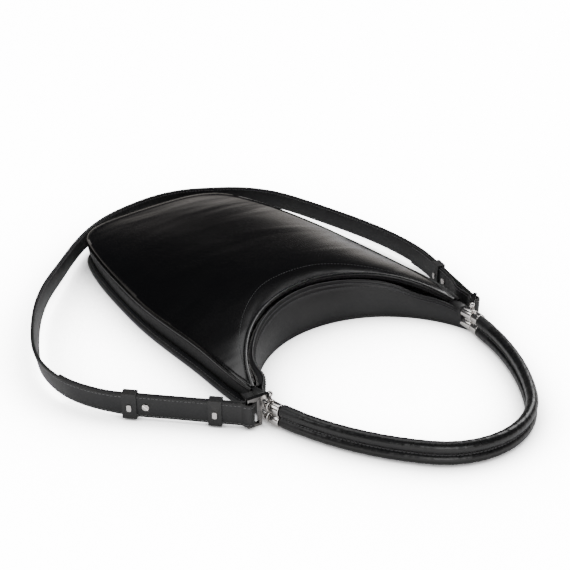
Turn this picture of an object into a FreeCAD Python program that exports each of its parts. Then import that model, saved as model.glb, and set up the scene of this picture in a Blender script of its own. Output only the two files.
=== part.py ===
import FreeCAD, Part
import math
import os
from FreeCAD import Placement, Rotation, Vector

# A leather shoulder bag lying on its back, with a stacked two-roll handle and a
# long flat strap. Millimetres, +Z up, +Y from the handle towards the bag's base.
# The origin is on the resting face, at the middle of the back panel.

doc = FreeCAD.newDocument("shoulder_bag")
sheet = doc.addObject("Spreadsheet::Sheet", "sizes")

SIZES = [
    ("origin_from_tips", 190.0, "origin to the line through both bag tips"),
    ("tip_half_span", 125.0, "middle of the bag to each tip"),
    ("tip_cut", 25.3, "bag panels stop this far from the tip line"),
    ("leather", 2.4, "leather thickness of the panels"),
    ("lining_thick", 0.7, "lining cloth thickness"),
    ("seam_inset", 1.0, "gusset set back from the welt edge"),
    ("mouth_radius", 126.5, "mouth curve on the back panel"),
    ("mouth_centre", -26.0, "centre of that curve from the tip line"),
    ("zip_tilt", 16.0, "slope of the zip track, degrees"),
    ("zip_centre_run", -13.2, "zip track centre from the tip line"),
    ("zip_centre_rise", 9.8, "zip track centre above the floor"),
    ("zip_radius", 124.0, "outer radius of the mouth wall top"),
    ("binding_radius", 135.6, "front mouth binding, track radius"),
    ("binding_rise", 1.8, "front mouth binding above the track plane"),
    ("binding_thick", 2.2, "binding roll radius"),
    ("slider_angle", -66.0, "parked place of the zip slider, degrees"),
    ("roll_radius", 5.3, "handle roll radius"),
    ("core_radius", 3.2, "handle core cord radius"),
    ("roll_low", 6.15, "centre height of the lower handle roll"),
    ("roll_high", 16.95, "centre height of the upper handle roll"),
    ("apex_radius", 84.0, "handle arch, middle arc radius"),
    ("apex_centre", -73.5, "handle arch, middle arc centre"),
    ("apex_angle", 48.0, "half angle of the middle arc, degrees"),
    ("flank_radius", 257.0, "handle arch, side arc radius"),
    ("flank_angle", 28.2, "angle of each side arc, degrees"),
    ("fold_line", -24.6, "handle fold line from the tip line"),
    ("fold_height", 11.55, "handle fold line above the floor"),
    ("fold_radius", 10.9, "rounded collar end"),
    ("tube_radius", 5.6, "metal tip tubes"),
    ("ball_line", 2.0, "swivel balls from the tip line"),
    ("ball_height", 27.7, "swivel ball centre above the floor"),
    ("ball_radius", 2.6, "swivel ball radius"),
    ("ring_reach", 21.2, "ball centre to the outer ring bar"),
    ("strap_width", 22.0, "strap width"),
    ("strap_thick", 3.0, "strap thickness"),
    ("tail_thick", 2.2, "turned-back strap end thickness"),
    ("strap_base", 3.4, "lower strap edge above the floor at the rings"),
    ("keeper_gap", 0.35, "clearance between strap and keeper"),
    ("keeper_thick", 1.2, "keeper leather thickness"),
]
for row, (name, value, note) in enumerate(SIZES, start=1):
    sheet.set("A%d" % row, name)
    sheet.set("B%d" % row, str(value))
    sheet.set("C%d" % row, note)
    sheet.setAlias("B%d" % row, name)
doc.recompute()


def size(name):
    return float(getattr(sheet, name))


ORIGIN = size("origin_from_tips")
TIP = size("tip_half_span")
LEATHER = size("leather")
SIDES = (("left", -1), ("right", 1))
nodes = []


def at(across, run, height=0.0):
    """A point from the tip line: across the bag, towards its base, and up."""
    return Vector(across, run - ORIGIN, height)


def keep(name, shape):
    """Add a computed solid as a named sub-part."""
    item = doc.addObject("Part::Feature", name)
    item.Shape = shape.removeSplitter() if len(shape.Solids) == 1 else shape
    item.Label = name
    item.Placement = Placement()
    nodes.append(item)
    return item


def primitive(kind, name, values, place):
    """A Part primitive whose sizes follow sheet expressions."""
    item = doc.addObject(kind, name)
    item.Placement = place
    for field, expression in values.items():
        item.setExpression(field, str(expression))
    return item


def combine(kind, name, items):
    item = doc.addObject(kind, name)
    if kind == "Part::Cut":
        item.Base, item.Tool = items
    else:
        item.Shapes = items
    item.Label = name
    nodes.append(item)
    return item


# ---------------------------------------------------------------- outline

FLANK = [(128, 0), (130, 20), (133, 52), (130.5, 100), (129, 151), (126, 206), (120, 250),
         (111, 300), (99, 345), (86, 371), (60, 386), (25, 390)]
OUTLINE = FLANK + [(-x, v) for x, v in reversed(FLANK)]


def spline(points):
    curve = Part.BSplineCurve()
    curve.interpolate(points)
    return curve


def outline_face(inset, height):
    """The bag's plan outline, moved inwards by inset, as a flat face."""
    base = spline([at(x, v) for x, v in OUTLINE])
    points = []
    for step in range(61):
        where = base.FirstParameter + (base.LastParameter - base.FirstParameter) * step / 60.0
        along = base.tangent(where)[0]
        points.append(base.value(where) + Vector(-along.y, along.x, 0) * inset)
    edge = spline(points).toShape()
    close = Part.makeLine(points[-1], points[0])
    face = Part.Face(Part.Wire([edge, close]))
    face.translate(Vector(0, 0, height))
    return face


def prism(inset, low, high):
    return outline_face(inset, low).extrude(Vector(0, 0, high - low))


def beyond(run):
    """Everything further from the handle than run."""
    return Part.makeBox(400, 600, 200, at(-200, run, -50))


# Front panel crown: (distance from the tip line, height at the middle, at the seam)
CROWN = [(-20, 42, 22), (44, 46, 26.5), (104, 50.5, 28.5), (150, 53, 29), (200, 51.5, 29),
         (250, 48, 29), (330, 40, 29), (410, 24, 27)]
HALF = 132.0


def front_skin(drop):
    """The crowned outer surface of the front panel, lowered by drop."""
    rows = []
    for run, middle, seam in CROWN:
        row = []
        for step in range(-6, 7):
            across = step * 25.0
            fall = (abs(across) / HALF) ** 2.4
            row.append(at(across, run, seam + (middle - seam) * (1 - fall) - drop))
        rows.append(row)
    surface = Part.BSplineSurface()
    surface.interpolate(rows)
    return surface.toShape()


def front_slab(top, bottom):
    return front_skin(top).extrude(Vector(0, 0, top - bottom))


def below_front(drop):
    return front_skin(drop).extrude(Vector(0, 0, -120))


# ---------------------------------------------------------------- zip track

TILT = math.radians(size("zip_tilt"))
TRACK_UP = Vector(0, -math.sin(TILT), math.cos(TILT))
TRACK_CENTRE = at(0, size("zip_centre_run"), size("zip_centre_rise"))


def outwards(angle):
    a = math.radians(angle)
    return Vector(math.sin(a), math.cos(a) * math.cos(TILT), math.cos(a) * math.sin(TILT))


def along_track(angle):
    a = math.radians(angle)
    return Vector(math.cos(a), -math.sin(a) * math.cos(TILT), -math.sin(a) * math.sin(TILT))


def track(angle, radius, rise):
    return TRACK_CENTRE + outwards(angle) * radius + TRACK_UP * rise


def band(inner, outer, low, high, first, last):
    """A strip of rectangular section that follows the zip track."""
    corners = [track(last, r, h) for r, h in ((inner, low), (outer, low), (outer, high), (inner, high))]
    face = Part.Face(Part.makePolygon(corners + corners[:1]))
    return face.revolve(TRACK_CENTRE, TRACK_UP, last - first)


def sector(points_outer, points_inner):
    """A flat curved strip outline from two arcs given by three points each."""
    outer = Part.Arc(*points_outer).toShape()
    inner = Part.Arc(*points_inner).toShape()
    return Part.Wire([outer, Part.makeLine(points_outer[2], points_inner[2]), inner,
                      Part.makeLine(points_inner[0], points_outer[0])])


def mouth_wall(set_back, thick, low, drop):
    """The wall from the back panel's mouth curve up to the zip track."""
    reach = 74
    floor, top = [], []
    for extra in (set_back, set_back + thick):
        radius = size("mouth_radius") + extra
        floor.append([at(radius * math.sin(math.radians(a)),
                         size("mouth_centre") + radius * math.cos(math.radians(a)), low)
                      for a in (-reach, 0, reach)])
        top.append([track(a, size("zip_radius") + extra, -drop) for a in (-reach, 0, reach)])
    return Part.makeLoft([sector(*floor), sector(*top)], True, True)


# ---------------------------------------------------------------- panels

inside = size("seam_inset") + LEATHER
mouth_tool = Part.makeCylinder(size("mouth_radius"), 200, at(0, size("mouth_centre"), -50))
lining_tool = Part.makeCylinder(size("mouth_radius") + LEATHER + 1.2, 200,
                                at(0, size("mouth_centre"), -50))
panel_side = beyond(size("tip_cut"))

# The front panel's mouth edge is the plan view of the tilted binding circle.
binding = size("binding_radius")
edge_centre = at(0, size("zip_centre_run") - size("binding_rise") * math.sin(TILT), -50)
edge_curve = Part.Ellipse(edge_centre, binding, binding * math.cos(TILT)).toShape()
front_tool = Part.Face(Part.Wire([edge_curve])).extrude(Vector(0, 0, 200))

keep("back_panel", prism(inside, 0, LEATHER).cut(mouth_tool).common(panel_side))
keep("back_welt", prism(0, 0, LEATHER + 0.2).cut(prism(inside, -1, 5)).common(panel_side))

welt = prism(0, 10, 60).cut(prism(size("seam_inset"), 5, 70))
keep("front_welt", welt.common(front_slab(1.2, 4.2)).common(panel_side))

front = front_slab(0, LEATHER).common(prism(size("seam_inset"), 5, 80)).cut(front_tool)
roll_face = Part.Face(Part.Wire([Part.Circle(track(70, binding, size("binding_rise")),
                                             along_track(70), size("binding_thick")).toShape()]))
roll = roll_face.revolve(TRACK_CENTRE, TRACK_UP, 140)
front = front.common(beyond(31)).cut(roll)
gusset = prism(size("seam_inset"), LEATHER + 0.2, 40).cut(prism(inside, 0, 60))
keep("side_gusset", gusset.common(below_front(LEATHER)).common(panel_side).cut(roll))
keep("front_panel", front)
keep("mouth_binding", roll)
keep("mouth_gusset", mouth_wall(0, LEATHER - 0.2, LEATHER, 0).common(panel_side))

cloth = size("lining_thick")
gap = 0.1
lining_floor = LEATHER + gap
lining_plan = inside + gap
lining_bulk = beyond(34)
keep("lining_back", prism(lining_plan, lining_floor, lining_floor + cloth)
     .cut(lining_tool).common(lining_bulk))
side_cloth = prism(lining_plan, lining_floor + cloth + gap, 60)
side_cloth = side_cloth.cut(prism(lining_plan + cloth, 0, 80))
keep("lining_side", side_cloth.common(below_front(LEATHER + cloth + 2 * gap)).common(beyond(40)))
front_cloth = front_slab(LEATHER + gap, LEATHER + gap + cloth).common(prism(lining_plan, 5, 80))
lining_edge = Part.Face(Part.Wire([Part.Ellipse(edge_centre, binding + 4,
                                                (binding + 4) * math.cos(TILT)).toShape()]))
keep("lining_front", front_cloth.cut(lining_edge.extrude(Vector(0, 0, 200))).common(beyond(44)))
keep("lining_mouth", mouth_wall(LEATHER - 0.1, cloth, lining_floor + cloth + gap, 8)
     .common(beyond(34)))

# Zip: each row of teeth stands on the edge of its tape.
ROW = 69.4
keep("back_zip_tape", band(126.3, 127.0, -7.0, -1.0, -70, 70))
keep("back_zip_teeth", band(127.0, 128.8, -4.6, -2.0, -ROW, ROW))
keep("front_zip_teeth", band(133.3, 135.1, -4.6, -2.0, -ROW, ROW))
keep("front_zip_tape", band(135.1, 135.8, -5.0, -0.45, -70, 70))
keep("zip_stop_left", band(127.05, 135.0, -4.6, -2.0, -70.6, -69.5))
keep("zip_stop_right", band(127.05, 135.0, -4.6, -2.0, 69.5, 70.6))

park = size("slider_angle")
plates = [band(127.2, 134.9, -1.7, -0.6, park - 2.4, park + 2.4),
          band(129.2, 132.9, -4.95, -1.65, park - 1.6, park + 1.6),
          band(127.2, 134.9, -6.1, -4.9, park - 2.4, park + 2.4),
          band(129.3, 130.5, -0.65, 2.2, park - 0.6, park + 0.6)]
slider = plates[0].multiFuse(plates[1:])
PIN_RISE = 1.2


def local_box(radius, width, start, length, low, thick):
    """A straight box beside the slider: outwards, along the track, upwards."""
    shape = Part.makeBox(width, length, thick)
    frame = FreeCAD.Matrix()
    out, run, up = outwards(park), along_track(park), TRACK_UP
    corner = track(park, radius + width, low) + run * start
    axes = (out * -1, run, up)
    frame.A11, frame.A21, frame.A31 = axes[0].x, axes[0].y, axes[0].z
    frame.A12, frame.A22, frame.A32 = axes[1].x, axes[1].y, axes[1].z
    frame.A13, frame.A23, frame.A33 = axes[2].x, axes[2].y, axes[2].z
    frame.A14, frame.A24, frame.A34 = corner.x, corner.y, corner.z
    shape.Placement = Placement(frame)
    return shape


pull_hole = Part.makeCylinder(0.55, 3.0, track(park, 128.5, PIN_RISE), outwards(park))
keep("zip_slider", slider.cut(pull_hole))
pull = local_box(128.2, 3.6, -1.3, 16.3, PIN_RISE - 0.6, 1.2)
pull = pull.cut(local_box(129.1, 1.6, -2.0, 4.0, PIN_RISE - 1, 3.0))
pull = pull.fuse(Part.makeCylinder(0.48, 3.0, track(park, 128.4, PIN_RISE), outwards(park)))
keep("zip_pull", pull)

# ---------------------------------------------------------------- tips

for side, sign in SIDES:
    far = [(115.9, 0.0), (130.0, 0.0), (130.0, 23.5), (115.9, 23.5)]
    near = [(119.9, 0.8), (130.1, 0.8), (130.1, 21.8), (119.9, 21.8)]
    wires = []
    for run, corners in ((25.2, far), (12.1, near)):
        points = [at(sign * x, run, z) for x, z in corners]
        wires.append(Part.makePolygon(points + points[:1]))
    keep("tip_tab_" + side, Part.makeLoft(wires, True, True))

LEAN = 9.5
for side, sign in SIDES:
    heights = ("roll_low", "roll_high")
    to_handle = Vector(-sign * math.sin(math.radians(LEAN)), -math.cos(math.radians(LEAN)), 0)
    turn_clamp = Rotation(Vector(0, 0, 1), Vector(0, 1, 0))
    turn_ferrule = Rotation(Vector(0, 0, 1), to_handle)
    pins = []
    for height in heights:
        start = at(sign * TIP, 4.0, size(height))
        pins.append(primitive("Part::Cylinder", "pin_%s_%s" % (height, side),
                              {"Radius": 1.5, "Height": 10.5}, Placement(start, turn_ferrule)))
    pin_pair = combine("Part::MultiFuse", "connector_pins_" + side, pins)
    post = primitive("Part::Cylinder", "post_" + side,
                     {"Radius": 1.3, "Height": "sizes.ball_height - 19.5 - 1"},
                     Placement(at(sign * TIP, size("ball_line"), 19.5), Rotation()))
    ball = primitive("Part::Sphere", "ball_" + side, {"Radius": "sizes.ball_radius"},
                     Placement(at(sign * TIP, size("ball_line"), size("ball_height")), Rotation()))
    trunnion = primitive("Part::Cylinder", "trunnion_" + side, {"Radius": 0.9, "Height": 3.3},
                         Placement(at(sign * TIP, size("ball_line"), size("ball_height")),
                                   Rotation(Vector(0, 0, 1), Vector(sign, 0, 0))))
    combine("Part::MultiFuse", "swivel_post_" + side, [post, ball, trunnion])
    seats = doc.addObject("Part::MultiFuse", "seats_" + side)
    seats.Shapes = [pin_pair, post]
    for name, run, length, turn in (("bag_clamp_", -1.2, 13.2, turn_clamp),
                                    ("handle_ferrule_", -2.6, 9.8, turn_ferrule)):
        tubes = []
        for height in heights:
            base = at(sign * TIP, run, size(height))
            tubes.append(primitive("Part::Cylinder", "tube_%s%s_%s" % (name, height, side),
                                   {"Radius": "sizes.tube_radius", "Height": length},
                                   Placement(base, turn)))
        web = primitive("Part::Box", "web_%s%s" % (name, side),
                        {"Length": 6, "Width": length, "Height": "sizes.roll_high - sizes.roll_low"},
                        Placement(at(sign * TIP, run, size("roll_low")),
                                  Rotation(Vector(0, 0, 1), 0 if length > 10 else 180 - sign * LEAN))
                        .multiply(Placement(Vector(-3, 0, 0), Rotation())))
        body = doc.addObject("Part::MultiFuse", "solid_%s%s" % (name, side))
        body.Shapes = tubes + [web]
        combine("Part::Cut", name + side, [body, seats])

# ---------------------------------------------------------------- handle

apex = size("apex_angle")
apex_dir = Vector(math.sin(math.radians(apex)), -math.cos(math.radians(apex)), 0)
shift = size("apex_radius") - size("flank_radius")
flank_centre = (apex_dir.x * shift, size("apex_centre") + apex_dir.y * shift)


def arch(name, thickness, height):
    """Three tangent torus segments that make one planar arch."""
    parts = []
    arcs = (("apex", 0, size("apex_centre"), -90 - apex, "sizes.apex_radius", "2 * sizes.apex_angle"),
            ("side_a", flank_centre[0], flank_centre[1], -90 + apex, "sizes.flank_radius",
             "sizes.flank_angle"),
            ("side_b", -flank_centre[0], flank_centre[1], -90 - apex - size("flank_angle"),
             "sizes.flank_radius", "sizes.flank_angle"))
    for label, x, v, start, radius, sweep in arcs:
        parts.append(primitive("Part::Torus", "%s_%s" % (name, label),
                               {"Radius1": radius, "Radius2": thickness, "Angle3": sweep},
                               Placement(at(x, v, size(height)), Rotation(Vector(0, 0, 1), start))))
    whole = doc.addObject("Part::MultiFuse", name)
    whole.Shapes = parts
    return whole


for level, height in (("lower", "roll_low"), ("upper", "roll_high")):
    skin = arch("arch_" + level, "sizes.roll_radius", height)
    core = arch("handle_core_" + level, "sizes.core_radius", height)
    core.Label = "handle_core_" + level
    nodes.append(core)
    combine("Part::Cut", "handle_roll_" + level, [skin, core])
doc.recompute()

rolls = [doc.getObject("arch_lower").Shape, doc.getObject("arch_upper").Shape]
for side, sign in SIDES:
    disc = Part.makeCylinder(size("fold_radius"), 60,
                             at(sign * 120 - 30, size("fold_line"), size("fold_height")),
                             Vector(1, 0, 0))
    plan = [(117.3, -13.6), (128.9, -13.6), (122.4, -35.6), (110.8, -35.6)]
    points = [at(sign * x, v, -5) for x, v in plan]
    block = Part.Face(Part.makePolygon(points + points[:1])).extrude(Vector(0, 0, 40))
    keep("handle_collar_" + side, disc.common(block).cut(rolls[0]).cut(rolls[1]))

# ---------------------------------------------------------------- rings

BAR = 1.9
RING_TURN = {"left": 173.0, "right": 35.0}
ring_bars = {}
for side, sign in SIDES:
    turn = math.radians(RING_TURN[side])
    ball_at = at(sign * TIP, size("ball_line"), 0)
    reach = size("ring_reach")
    ring_bars[side] = ball_at + Vector(math.cos(turn), math.sin(turn), 0) * reach
    frame = Part.makeBox(reach + BAR - 9.0, 2 * BAR, 29.6 - 0.6, Vector(9.0, -BAR, 0.6))
    frame = frame.cut(Part.makeBox(reach - BAR - 12.0, 10, 22.9, Vector(12.0, -5, 3.0)))
    arm = Part.makeBox(8.0, 2 * BAR, 3.7, Vector(1.4, -BAR, 25.9))
    ring = frame.fuse(arm).cut(Part.makeSphere(size("ball_radius") + 0.05,
                                               Vector(0, 0, size("ball_height"))))
    bars = [edge for edge in ring.Edges if abs(edge.Vertexes[0].X - edge.Vertexes[-1].X) < 0.01
            and abs(edge.Vertexes[0].Y - edge.Vertexes[-1].Y) < 0.01 and edge.Length > 20
            and edge.Vertexes[0].X > reach]
    ring = ring.makeFillet(0.7, bars)
    ring.Placement = Placement(ball_at, Rotation(Vector(0, 0, 1), RING_TURN[side]))
    pivot = Part.makeCylinder(0.95, 3.5, ball_at + Vector(0, 0, size("ball_height")), Vector(sign, 0, 0))
    keep("strap_ring_" + side, ring.cut(pivot))

# ---------------------------------------------------------------- strap

# Plan stations and the height of the lower edge, from the left straight run round
# to the right one.
STATIONS = [(-226, 92, 3.4), (-238.5, 111.3, 4.2), (-247, 132, 5.6), (-250.3, 154, 7.4),
            (-247.8, 178, 9), (-238, 205, 10.2), (-222.7, 233, 11), (-202.8, 264, 11),
            (-176.8, 295.5, 11), (-147, 329, 10.5), (-115, 358.5, 10), (-81, 384.5, 10),
            (-46, 401, 10), (-9, 407.5, 10), (28, 410.5, 10), (62.8, 404.7, 10),
            (95.4, 388.5, 10), (124.5, 363.5, 10), (146.3, 331.7, 9), (158.7, 292, 8),
            (168.5, 248.8, 7), (176.6, 203.7, 6), (179.5, 159.6, 4.6), (174.1, 112.9, 3.4)]
RUN_END = {"left": at(-226, 92), "right": at(174.1, 112.9)}


def run_frame(side):
    """Start, direction and tail-side normal of a straight strap run."""
    start = ring_bars[side]
    along = (RUN_END[side] - start).normalize()
    inwards = Vector(along.y, -along.x, 0) if side == "left" else Vector(-along.y, along.x, 0)
    return start, along, inwards


start_l, along_l, left_l = run_frame("left")
start_r, along_r, left_r = run_frame("right")
HEAD_SIDE = {"left": left_l * -1, "right": left_r}
MAIN_SHIFT = -1.2
TAIL_SHIFT = 1.7

FIRST = 6.0
path = []
for step in range(5):
    spot = start_l + along_l * (FIRST + (95.0 - FIRST) * step / 4.0) + left_l * MAIN_SHIFT
    path.append(Vector(spot.x, spot.y, size("strap_base")))
for x, v, z in STATIONS[:-1]:
    path.append(at(x, v, z) + (left_l * MAIN_SHIFT if x < -225 else Vector()))
for step in range(5):
    spot = start_r + along_r * (103.0 - (103.0 - FIRST) * step / 4.0) + left_r * MAIN_SHIFT
    path.append(Vector(spot.x, spot.y, size("strap_base")))
line = spline(path)


def ribbon(first, last, sections, shift, thick):
    """A loft of upright sections between two places on the strap line."""
    wires = []
    for step in range(sections + 1):
        where = first + (last - first) * step / float(sections)
        spot = line.value(where)
        along = line.tangent(where)[0]
        left = Vector(-along.y, along.x, 0).normalize()
        low = [spot + left * (shift + thick / 2.0), spot + left * (shift - thick / 2.0)]
        up = Vector(0, 0, size("strap_width"))
        points = [low[0], low[1], low[1] + up, low[0] + up]
        wires.append(Part.makePolygon(points + points[:1]))
    return Part.makeLoft(wires, True, False)


def place_of(point):
    return line.parameter(point)


thick = size("strap_thick")
tail = size("tail_thick")
splice = place_of(at(-161, 311, 11))
studs = {}


def stud(name, side, distance, holes):
    """A screw stud through the strap, with its head on the tail side."""
    start, along, left = run_frame(side)
    face = HEAD_SIDE[side]
    middle = start + along * distance + Vector(0, 0, size("strap_base") + 10.8)
    tail_face = TAIL_SHIFT + tail / 2.0 + 0.05
    main_face = thick / 2.0 - MAIN_SHIFT + 0.05
    outer, inner = (tail_face, main_face) if side == "right" else (main_face, tail_face)
    head = Part.makeCylinder(3.2, 1.5, middle + face * outer, face)
    head = head.makeFillet(0.5, [head.Edges[0]])
    slot = Part.makeBox(0.8, 10, 1.0, Vector(-0.4, -5, 0))
    slot.Placement = Placement(middle + face * (outer + 0.9), Rotation(Vector(0, 0, 1), face))
    shank = Part.makeCylinder(1.4, outer + inner + 0.2, middle - face * (inner + 0.1), face)
    washer = Part.makeCylinder(3.0, 1.0, middle - face * (inner + 1.0), face)
    studs[name] = head.cut(slot).multiFuse([shank, washer])
    holes.append(Part.makeCylinder(1.45, 16, middle - face * 8, face))


left_holes, right_holes = [], []
stud("strap_stud_left", "left", 90.0, left_holes)
stud("strap_stud_right", "right", 60.0, right_holes)

main_left = ribbon(line.FirstParameter, splice, 22, 0, thick).cut(left_holes[0])
main_right = ribbon(splice, line.LastParameter, 30, 0, thick).cut(right_holes[0])
keep("strap_left", main_left)
keep("strap_right", main_right)

FOLD_IN, FOLD_OUT = 3.0, 5.2
tail_gap = 0.1


def strap_end(side, last_point, sections, holes):
    """The folded loop round the ring bar with the turned-back tail."""
    start, along, left = run_frame(side)
    base = Vector(start.x, start.y, size("strap_base"))
    height = size("strap_width")
    fold = Part.makeCylinder(FOLD_OUT, height, base).cut(Part.makeCylinder(FOLD_IN, height, base))
    shift = thick / 2.0 + tail_gap + tail / 2.0
    first = line.FirstParameter if side == "left" else line.LastParameter
    back = ribbon(first, place_of(last_point), sections, -shift, tail)
    # The short bridge joins the loop to the tail on the tail's side only.
    corner = base + along * 2.6 + left * (TAIL_SHIFT - tail / 2.0)
    bridge = Part.makeBox(FIRST + 1.0 - 2.6, tail, height)
    if side == "left":
        corner = corner + left * tail
    bridge.Placement = Placement(corner, Rotation(Vector(0, 0, 1),
                                                  math.degrees(math.atan2(along.y, along.x))))
    return fold.fuse(back).fuse(bridge).cut(holes[0])


ends = {"left": strap_end("left", at(-240, 146, 6), 10, left_holes),
        "right": strap_end("right", at(176, 139, 4), 8, right_holes)}
mains = {"left": main_left, "right": main_right}
for side, sign in SIDES:
    keep("strap_end_" + side, ends[side].cut(mains[side]))
for name, shape in studs.items():
    keep(name, shape)


def keeper(name, side, distance, length):
    """A leather loop that slides along the doubled strap, with its rivet."""
    start, along, left = run_frame(side)
    face = HEAD_SIDE[side]
    gap_in, skin = size("keeper_gap"), size("keeper_thick")
    main_side = thick / 2.0 - MAIN_SHIFT + gap_in
    tail_side = TAIL_SHIFT + tail / 2.0 + gap_in
    inner_low, inner_high = (-tail_side, main_side) if side == "left" else (-main_side, tail_side)
    width = inner_high - inner_low
    height = size("strap_width") + 2 * gap_in
    turn = Rotation(Vector(0, 0, 1), math.degrees(math.atan2(along.y, along.x)))

    def block(extra, extra_length):
        shape = Part.makeBox(length + 2 * extra_length, width + 2 * extra, height + 2 * extra,
                             Vector(-length / 2.0 - extra_length, inner_low - extra,
                                    size("strap_base") - gap_in - extra))
        shape.Placement = Placement(start + along * distance, turn)
        return shape

    loop = block(skin, 0).cut(block(0, 1))
    centre = start + along * distance + Vector(0, 0, size("strap_base") + 9.5)
    head = Part.makeBox(4.0, 1.1, 6.4, Vector(-2.0, 0, -3.2))
    upright = [edge for edge in head.Edges if edge.Length < 1.2]
    head = head.makeFillet(1.4, upright)
    head_turn = math.degrees(math.atan2(face.y, face.x)) - 90
    head.Placement = Placement(centre + face * (inner_high + skin), Rotation(Vector(0, 0, 1), head_turn))
    shank = Part.makeCylinder(1.0, skin + 0.2, centre + face * inner_high, face)
    keep(name, loop.cut(shank))
    keep(name + "_rivet", head.fuse(shank))


keeper("keeper_left_near", "left", 29.0, 12.0)
keeper("keeper_left_far", "left", 104.5, 13.0)
keeper("keeper_right", "right", 77.0, 13.0)

# ---------------------------------------------------------------- checks and files

doc.recompute()
for item in doc.Objects:
    state = list(item.State)
    if "Invalid" in state or "Error" in state:
        raise RuntimeError("%s: %s" % (item.Name, state))
os.makedirs("parts", exist_ok=True)
for item in nodes:
    shape = item.Shape
    if shape.isNull() or not shape.isValid():
        raise RuntimeError("bad shape: " + item.Label)
    shape.exportStep("parts/%s.step" % item.Label)
    print("%-24s %9.1f mm3  %d solid(s)" % (item.Label, shape.Volume, len(shape.Solids)))
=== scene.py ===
import math

import bmesh
import bpy
import numpy as np
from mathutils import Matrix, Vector


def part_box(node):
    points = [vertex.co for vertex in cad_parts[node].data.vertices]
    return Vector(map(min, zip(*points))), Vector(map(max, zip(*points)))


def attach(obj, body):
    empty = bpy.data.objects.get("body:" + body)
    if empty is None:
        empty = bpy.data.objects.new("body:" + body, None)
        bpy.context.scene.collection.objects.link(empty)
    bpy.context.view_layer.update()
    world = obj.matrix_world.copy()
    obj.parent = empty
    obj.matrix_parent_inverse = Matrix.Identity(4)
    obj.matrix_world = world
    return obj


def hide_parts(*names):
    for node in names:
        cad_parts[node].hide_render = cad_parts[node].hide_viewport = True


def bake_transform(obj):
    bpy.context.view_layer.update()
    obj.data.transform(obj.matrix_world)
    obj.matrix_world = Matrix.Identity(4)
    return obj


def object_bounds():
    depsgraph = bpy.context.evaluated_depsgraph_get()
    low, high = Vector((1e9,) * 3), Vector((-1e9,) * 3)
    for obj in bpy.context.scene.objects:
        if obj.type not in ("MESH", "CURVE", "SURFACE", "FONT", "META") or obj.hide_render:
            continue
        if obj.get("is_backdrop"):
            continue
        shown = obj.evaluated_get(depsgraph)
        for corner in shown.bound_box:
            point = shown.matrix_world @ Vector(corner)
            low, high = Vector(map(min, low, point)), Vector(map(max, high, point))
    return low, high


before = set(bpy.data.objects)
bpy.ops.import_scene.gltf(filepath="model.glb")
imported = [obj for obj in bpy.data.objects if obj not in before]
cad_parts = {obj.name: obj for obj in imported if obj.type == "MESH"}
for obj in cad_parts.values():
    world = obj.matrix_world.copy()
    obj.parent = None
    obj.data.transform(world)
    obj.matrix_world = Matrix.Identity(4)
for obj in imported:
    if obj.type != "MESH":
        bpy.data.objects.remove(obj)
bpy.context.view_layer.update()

# Everything below is in millimetres from the line through the bag's two tips:
# across the bag, away from the handle, and up. place() turns it into the frame.
POST_RADIUS, POST_LINE = 2.6, 2.0
TIP_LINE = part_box("swivel_post_left")[0][1] + (POST_RADIUS - POST_LINE) / 1000.0
TIP = 1000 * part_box("swivel_post_right")[1][0] - POST_RADIUS
# The handle's two rolls lie one above the other, and so do its ferrules and clamps.
ROLL_LEVELS = {"lower": 6.15, "upper": 16.95}
ROLL_RADIUS, MID_LEVEL = 5.35, 11.55


def place(point):
    x, v, z = point
    return (x / 1000.0, TIP_LINE + v / 1000.0, z / 1000.0)


# ------------------------------------------------------------------ curves

def cubic(knots, values):
    """A natural cubic through values at knots, as a function."""
    knots = np.asarray(knots, float)
    values = np.asarray(values, float)
    if values.ndim == 1:
        values = values[:, None]
    count = len(knots)
    gap = np.diff(knots)
    matrix = np.eye(count)
    right = np.zeros_like(values)
    for i in range(1, count - 1):
        matrix[i, i - 1:i + 2] = gap[i - 1], 2 * (gap[i - 1] + gap[i]), gap[i]
        right[i] = 6 * ((values[i + 1] - values[i]) / gap[i]
                        - (values[i] - values[i - 1]) / gap[i - 1])
    bend = np.linalg.solve(matrix, right)

    def value(where):
        where = np.clip(np.atleast_1d(np.asarray(where, float)), knots[0], knots[-1])
        i = np.clip(np.searchsorted(knots, where) - 1, 0, count - 2)
        h = gap[i][:, None]
        a = (knots[i + 1] - where)[:, None] / h
        b = (where - knots[i])[:, None] / h
        return (a * values[i] + b * values[i + 1]
                + ((a ** 3 - a) * bend[i] + (b ** 3 - b) * bend[i + 1]) * h * h / 6)
    return value


def through(points, count):
    """Evenly spaced points on a smooth curve through the given points."""
    points = np.asarray(points, float)
    reach = np.concatenate([[0], np.cumsum(np.linalg.norm(np.diff(points, axis=0), axis=1))])
    curve = cubic(reach, points)
    fine = curve(np.linspace(0, reach[-1], 2000))
    return even(fine, count)


def even(points, count):
    """Points spread evenly by length along a chain of points."""
    reach = np.concatenate([[0], np.cumsum(np.linalg.norm(np.diff(points, axis=0), axis=1))])
    where = np.linspace(0, reach[-1], count)
    return np.stack([np.interp(where, reach, column) for column in points.T], axis=1)


def tangents(points):
    """The unit direction of travel at each point."""
    t = np.gradient(points, axis=0)
    return t / np.linalg.norm(t, axis=1)[:, None]


def bump(x, centre, width):
    """A smooth hill of height 1."""
    return np.exp(-((x - centre) / width) ** 2)


# ------------------------------------------------------------------ meshes

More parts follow.
